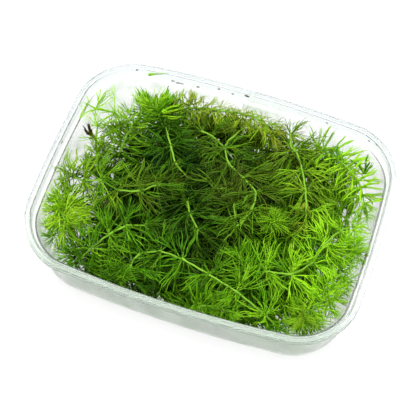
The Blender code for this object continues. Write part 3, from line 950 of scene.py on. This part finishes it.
def leaf_places(route, nodes, growth, others, room, tone, olive, rng):
    """Foot, turn, size, pattern and colours of every leaf on a stem."""
    rows = []
    for number, distance in enumerate(nodes):
        centre, heading, up, side = route.frame(distance)
        tip_share = (route.total - distance) / YOUNG_END
        young = 1.0 if tip_share > 1 else growth["tip"] + (1 - growth["tip"]) * tip_share
        start = rng.uniform(0, 2 * math.pi)
        clumps = [rng.uniform(0, 2 * math.pi) for _ in range(4)]
        # The place adds painted light high up and painted shade low down and in the core
        whorl_tone = tone + rng.uniform(-0.10, 0.10) + place_tone(centre, tone)
        whorl_olive = olive * rng.uniform(0.5, 1.5)
        for leaf in range(growth["leaves"]):
            angle = start + 2 * math.pi * leaf / growth["leaves"] + rng.uniform(-0.2, 0.2)
            nearest = min(clumps, key=lambda c: abs(math.remainder(angle - c, 2 * math.pi)))
            angle -= math.remainder(angle - nearest, 2 * math.pi) * 0.3
            direction = up * math.cos(angle) * growth["flat"] + side * math.sin(angle)
            lean = rng.uniform(-0.3, 0.6) + (1 - young) * 1.2 - (0.7 if number == 0 else 0.0)
            direction = unit(direction + heading * lean)
            pull = heading * 0.5 + np.array([rng.uniform(-0.3, 0.3), rng.uniform(-0.3, 0.3), -0.45])
            longest = growth["length"] * young * rng.uniform(0.8, 1.1)
            reach, foot, aimed, bend = roomiest_leaf(centre, direction, pull, longest, growth, route,
                                                     others, room)
            reach = max(reach, LEAST_LEAF)
            tip = foot + aimed * reach * 0.7
            if growth["leaf"] == "deep" and any(math.dist(tip[:2], spot[:2]) < spot[2] for spot in CLEARINGS):
                continue
            fade = float(np.clip(whorl_olive + rng.uniform(-0.15, 0.15), 0, 1)) if olive > 0 else 0.0
            dead = 0.0
            if growth["leaf"] == "curled":
                dead = float(np.clip(whorl_olive * rng.uniform(-1.2, 0.9), 0, 1))
            shade = whorl_tone + rng.uniform(-0.22, 0.22)
            wide = 0.5 * (reach + growth["length"])
            rows.append(leaf_row(foot, aimed, bend, wide, reach, (shade, fade, dead), rng))
    return rows


def leaf_row(foot, direction, bend, wide, reach, colours, rng):
    """One leaf: its foot, its heading, where it bends to, its width and length, and its colours."""
    turn = Matrix([bend, np.cross(direction, bend), direction]).transposed()
    tone, olive, dead = colours
    return {"co": foot * MM, "turn": turn.to_euler(), "size": (wide * MM, wide * MM, reach * MM),
            "pattern": rng.randrange(PATTERNS), "tone": tone, "olive": olive, "dead": dead}


def stray_places(route, others, room, tone, olive, rng):
    """Single leaves that lie across the whorls of an open stem."""
    rows = []
    for _ in range(round(route.total * STRAYS)):
        centre = route.place(rng.uniform(3.0, route.total - 3.0))
        angle = rng.uniform(0, 2 * math.pi)
        direction = unit(np.array([math.cos(angle), math.sin(angle), rng.uniform(-0.35, 0.0)]))
        bend = unit(np.cross(direction, (0.0, 0.0, rng.choice((-1.0, 1.0)))))
        longest = rng.uniform(15.0, 24.0)
        reach = leaf_reach(centre, direction, bend, longest, False, route, others, STRAY_WEAVE, CEILING, room)
        colours = (tone + rng.uniform(-0.35, 0.15), olive * rng.uniform(0.0, 1.5), 0.0)
        foot = centre - np.array([0.0, 0.0, 0.6])
        rows.append(leaf_row(foot, direction, bend, 20.0, max(reach, 3.0), colours, rng))
    return rows


def tuft_places(tuft, rng):
    """Foot, turn, size, pattern and colours of every leaf of a tuft."""
    stem, kind, foot, heading, angle, count, length, tone, olive, dead = tuft
    heading = unit(np.array(heading, dtype=float))
    across = unit(np.cross(heading, (0.0, 0.0, 1.0)))
    over = np.cross(heading, across)
    rows = []
    for leaf in range(count):
        around = 2 * math.pi * (leaf * 0.618 + rng.uniform(-0.1, 0.1))
        tilt = math.radians(angle) * math.sqrt((leaf + 0.5) / count)
        outward = across * math.cos(around) + over * math.sin(around)
        direction = heading * math.cos(tilt) + outward * math.sin(tilt)
        bend = unit(outward - direction * float(outward @ direction))
        reach = length * rng.uniform(0.75, 1.05)
        colours = (tone + rng.uniform(-0.25, 0.25), olive, dead * rng.uniform(0.4, 1.0))
        rows.append(leaf_row(np.array(foot) + direction * 0.5, direction, bend, length, reach, colours, rng))
    return rows


def points_mesh(name, rows):
    mesh = bpy.data.meshes.new(name)
    mesh.from_pydata([row["co"] for row in rows], [], [])
    kinds = {"turn": "FLOAT_VECTOR", "size": "FLOAT_VECTOR", "pattern": "INT", "tone": "FLOAT",
             "olive": "FLOAT", "dead": "FLOAT"}
    for key, kind in kinds.items():
        layer = mesh.attributes.new(key, kind, "POINT")
        values = np.array([tuple(row[key]) if kind == "FLOAT_VECTOR" else row[key] for row in rows])
        layer.data.foreach_set("vector" if kind == "FLOAT_VECTOR" else "value", values.ravel())
    return mesh


def grow_leaves(name, rows, tree, patterns, hornwort, finish):
    """Run the leaf nodes over the points and keep the result as a plain mesh."""
    points = link_object(name + "_points", points_mesh(name + "_points", rows))
    modifier = points.modifiers.new("leaf whorls", "NODES")
    modifier.node_group = tree
    values = {"Leaf patterns": patterns, "Flutter": hornwort.flutter, "Flutter scale": FLUTTER_SCALE,
              "Finish": finish}
    for item in tree.interface.items_tree:
        if item.in_out == "INPUT" and item.name in values:
            modifier[item.identifier] = values[item.name]
    graph = bpy.context.evaluated_depsgraph_get()
    mesh = bpy.data.meshes.new_from_object(points.evaluated_get(graph), depsgraph=graph)
    bpy.data.objects.remove(points, do_unlink=True)
    return link_object(name, mesh)


def join(first, second):
    with bpy.context.temp_override(active_object=first, selected_editable_objects=[first, second]):
        bpy.ops.object.join()
    return first


def make_stems(kinds):
    """Dress every stem whose growth is one of the kinds given."""
    scene = bpy.context.scene
    hornwort = scene.hornwort
    room = TubRoom(scene.hornwort_tub)
    routes = {name: Route(points) for name, (growth, tone, olive, points) in STEMS.items()}
    finish = leaf_finish()
    tree = bpy.data.node_groups.get("leaf whorls") or whorl_tree()
    for name, (kind, tone, olive, points) in STEMS.items():
        if kind not in kinds:
            continue
        growth = GROWTH[kind]
        rng = random.Random(hornwort.seed + list(STEMS).index(name))
        route = routes[name]
        nodes = route.whorls(growth["pitch"])
        others = np.concatenate([other.points for key, other in routes.items() if key != name])
        rows = leaf_places(route, nodes, growth, others, room, tone, olive, rng)
        sprays = [(growth["leaf"], rows)]
        if kind == "open":
            sprays.append(("fine", stray_places(route, others, room, tone, olive, rng)))
        sprays += [(tuft[1], tuft_places(tuft, rng)) for tuft in TUFTS if tuft[0] == name]
        piece = make_stem_tube("leafy_" + name, route, nodes, hornwort, tone, olive, finish)
        for stem, points in TWIGS:
            if stem == name:
                twig = Route(points)
                ends = [0.0, twig.total]
                join(piece, make_stem_tube(name + "_twig", twig, ends, hornwort, tone, olive, finish))
        for number, (leaf, places) in enumerate(sprays):
            patterns = leaf_collection(leaf, hornwort)
            spray = grow_leaves(f"{name}_spray_{number}", places, tree, patterns, hornwort, finish)
            join(piece, spray)
        keep_inside(piece, room)
        settle(piece, "hornwort", name)
    for collection in list(bpy.data.collections):
        if collection.name.startswith("leaf patterns"):
            for item in list(collection.objects):
                bpy.data.objects.remove(item, do_unlink=True)
            bpy.data.collections.remove(collection)


def leaf_collection(kind, hornwort):
    """The collection of patterns of one kind of leaf, made once."""
    name = f"leaf patterns {kind}"
    if name in bpy.data.collections:
        return bpy.data.collections[name]
    collection = bpy.data.collections.new(name)
    bpy.context.scene.collection.children.link(collection)
    for number in range(PATTERNS):
        seed = hornwort.seed * 100 + list(LEAVES).index(kind) * 10 + number
        pattern = make_leaf_pattern(f"leaf_{kind}_{number}", kind, hornwort, seed)
        pattern.hide_render = True
        collection.objects.link(pattern)
    return collection


def keep_inside(piece, room):
    """Press what would stand in the tub's walls or floor back inside, and lower what is too high."""
    mesh = piece.data
    places = np.empty(len(mesh.vertices) * 3)
    mesh.vertices.foreach_get("co", places)
    places = places.reshape(-1, 3) / MM
    over = np.maximum(places[:, 2] - room.top, 0.0)
    spare = CEILING - room.top
    places[:, 2] -= over - spare * (1 - np.exp(-over / spare))
    moved = room.push_in(places, WALL_GAP)
    mesh.vertices.foreach_set("co", (moved * MM).ravel())
    mesh.update()


# Dirt on the tub

# Specks as x, y, z and size in mm, and how much longer they are than high
SPECKS = [
    (-63.7, 60.1, 36.7, 0.6, 1.3), (-43.8, 62.0, 33.1, 0.5, 2.6), (-40.9, 62.1, 32.4, 0.55, 3.0),
    (-38.7, 62.3, 32.4, 0.5, 2.4), (-29.7, 62.8, 33.1, 0.6, 1.6), (-17.9, 63.4, 35.9, 0.6, 1.4),
    (-10.0, 63.5, 34.9, 0.5, 1.5), (-2.2, 63.7, 36.5, 0.8, 1.9), (43.1, 62.2, 35.2, 0.5, 1.3),
    (67.1, 58.7, 35.2, 0.5, 1.4), (-85.1, 5.0, 35.7, 0.6, 1.5), (71.8, 56.1, 37.6, 0.5, 1.6),
]
LOOSE_LEAF = [(-57.4, 61.0, 34.6, 1.0), (-55.8, 61.4, 35.1, 1.1), (-54.0, 61.8, 35.7, 0.7),
              (-51.8, 62.2, 36.3, 0.4), (-49.6, 62.7, 37.0, 0.35), (-46.8, 63.1, 37.7, 0.15)]


def make_specks():
    """Flat crumbs of dirt that stick to the wall under the rim."""
    rng = random.Random(5)
    builder = bmesh.new()
    for x, y, z, size, stretch in SPECKS:
        made = bmesh.ops.create_icosphere(builder, subdivisions=2, radius=size * MM)
        radial = Vector((x * 0.5, y, 0)).normalized()
        along = Vector((-radial.y, radial.x, 0))
        for vertex in made["verts"]:
            lump = vertex.co * rng.uniform(0.8, 1.15)
            vertex.co = (along * lump.x * stretch + radial * lump.y * 0.45
                         + Vector((0, 0, lump.z)) + Vector((x, y, z)) * MM)
    mesh = finished_mesh("tub_specks", builder, dirt_finish())
    return settle(link_object("tub_specks", mesh), "hornwort")


def make_loose_leaf(finish):
    """One bit of leaf on the wall under the rim, fat at one end and drawn out at the other."""
    builder = bmesh.new()
    layers = {key: builder.verts.layers.float.new(key) for key in ("tone", "olive", "along", "woody")}
    rings = []
    for number, (x, y, z, radius) in enumerate(LOOSE_LEAF):
        ring = []
        for corner in range(STEM_SIDES):
            angle = 2 * math.pi * corner / STEM_SIDES
            vertex = builder.verts.new(Vector((x, y + 0.7 * radius * math.cos(angle) - 0.3,
                                               z + radius * math.sin(angle))) * MM)
            vertex[layers["tone"]] = 0.75 + 0.05 * number
            vertex[layers["along"]] = 0.5
            ring.append(vertex)
        rings.append(ring)
    skin(builder, rings)
    mesh = finished_mesh("loose_leaf_bit", builder, finish)
    return settle(link_object("loose_leaf_bit", mesh), "hornwort")


# Stage

# In metres: where the soft lamp hangs, what it points at and how far the floor lies under the tub
LAMP_PLACE = Vector((-0.05, 0.10, 0.85))
LAMP_AIM = Vector((0.0, 0.0, 0.02))
FLOOR_GAP = 0.0002

# Width of the camera's sensor in mm
SENSOR = 36.0


def make_stage(stage, tub):
    """Floor, even light, soft lamp and camera."""
    material, _, shader = new_finish("floor", stage.floor)
    shader.inputs["Base Color"].default_value = (*stage.floor, 1.0)
    set_shader(shader, Roughness=0.9, Specular_IOR_Level=0.1, Emission_Strength=stage.glow)
    shader.inputs["Emission Color"].default_value = (1.0, 1.0, 1.0, 1.0)
    builder = bmesh.new()
    bmesh.ops.create_grid(builder, x_segments=1, y_segments=1, size=stage.floor_size)
    mesh = bpy.data.meshes.new("floor")
    builder.to_mesh(mesh)
    builder.free()
    mesh.materials.append(material)
    floor = link_object("floor", mesh)
    floor.location.z = -FLOOR_GAP

    world = bpy.data.worlds.new("room")
    world.use_nodes = True
    sky = world.node_tree.nodes["Background"]
    sky.inputs["Color"].default_value = (1.0, 1.0, 1.0, 1.0)
    sky.inputs["Strength"].default_value = stage.world_light
    bpy.context.scene.world = world

    lamp_data = bpy.data.lights.new("soft lamp", "AREA")
    lamp_data.shape = "DISK"
    lamp_data.size = stage.lamp_size
    lamp_data.energy = stage.lamp_power
    lamp = bpy.data.objects.new("soft lamp", lamp_data)
    lamp.location = LAMP_PLACE
    lamp.rotation_euler = (LAMP_AIM - lamp.location).to_track_quat("-Z", "Y").to_euler()
    bpy.context.scene.collection.objects.link(lamp)

    a, e, r = stage.azimuth, stage.elevation, stage.roll
    back = Vector((math.sin(a) * math.cos(e), -math.cos(a) * math.cos(e), math.sin(e)))
    level = Vector((math.cos(a), math.sin(a), 0.0))
    right = level * math.cos(r) + back.cross(level) * math.sin(r)
    up = back.cross(right)
    camera_data = bpy.data.cameras.new("camera")
    camera_data.lens = stage.lens
    camera_data.sensor_width = SENSOR
    camera = bpy.data.objects.new("camera", camera_data)
    camera.rotation_euler = Matrix([right, up, back]).transposed().to_euler()
    camera.location = Vector((stage.target_x, stage.target_y, tub.height)) + back * stage.distance
    bpy.context.scene.collection.objects.link(camera)
    bpy.context.scene.camera = camera
    bpy.context.scene.view_settings.view_transform = "Standard"


# Operators

class HORNWORT_OT_tub(bpy.types.Operator):
    """Make the clear tub"""
    bl_idname = "hornwort.tub"
    bl_label = "Clear tub"

    def execute(self, context):
        make_tub(context.scene.hornwort_tub)
        return {"FINISHED"}


class HORNWORT_OT_upper_stems(bpy.types.Operator):
    """Make the stems that show on top, with their leaves"""
    bl_idname = "hornwort.upper_stems"
    bl_label = "Upper stems"

    def execute(self, context):
        make_stems([kind for kind in GROWTH if kind != "deep"])
        return {"FINISHED"}


class HORNWORT_OT_lower_stems(bpy.types.Operator):
    """Make the stems that fill the tub below, with their leaves"""
    bl_idname = "hornwort.lower_stems"
    bl_label = "Lower stems"

    def execute(self, context):
        make_stems(["deep"])
        return {"FINISHED"}


class HORNWORT_OT_dirt(bpy.types.Operator):
    """Make the specks and the loose leaf bit on the tub's wall"""
    bl_idname = "hornwort.dirt"
    bl_label = "Dirt"

    def execute(self, context):
        make_specks()
        make_loose_leaf(leaf_finish())
        return {"FINISHED"}


class HORNWORT_OT_stage(bpy.types.Operator):
    """Make the floor, the light and the camera"""
    bl_idname = "hornwort.stage"
    bl_label = "Stage"

    def execute(self, context):
        make_stage(context.scene.hornwort_stage, context.scene.hornwort_tub)
        return {"FINISHED"}


class HORNWORT_PT_panel(bpy.types.Panel):
    """Pieces of the hornwort tub"""
    bl_label = "Hornwort"
    bl_idname = "HORNWORT_PT_panel"
    bl_space_type = "VIEW_3D"
    bl_region_type = "UI"
    bl_category = "Hornwort"

    def draw(self, context):
        for operator in OPERATORS:
            self.layout.operator(operator.bl_idname)
        for group in (context.scene.hornwort_tub, context.scene.hornwort, context.scene.hornwort_stage):
            box = self.layout.box()
            for key in group.__annotations__:
                box.prop(group, key)


SETTINGS = (TubSettings, HornwortSettings, StageSettings)
OPERATORS = (HORNWORT_OT_tub, HORNWORT_OT_lower_stems, HORNWORT_OT_upper_stems, HORNWORT_OT_dirt,
             HORNWORT_OT_stage)


def register():
    for group in SETTINGS + OPERATORS + (HORNWORT_PT_panel,):
        bpy.utils.register_class(group)
    bpy.types.Scene.hornwort_tub = PointerProperty(type=TubSettings)
    bpy.types.Scene.hornwort = PointerProperty(type=HornwortSettings)
    bpy.types.Scene.hornwort_stage = PointerProperty(type=StageSettings)


def unregister():
    del bpy.types.Scene.hornwort_stage
    del bpy.types.Scene.hornwort
    del bpy.types.Scene.hornwort_tub
    for group in reversed(SETTINGS + OPERATORS + (HORNWORT_PT_panel,)):
        bpy.utils.unregister_class(group)


def main():
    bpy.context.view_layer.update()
    register()
    bpy.ops.hornwort.tub()
    bpy.ops.hornwort.lower_stems()
    bpy.ops.hornwort.upper_stems()
    bpy.ops.hornwort.dirt()
    bpy.ops.hornwort.stage()


if __name__ == "__main__":
    main()
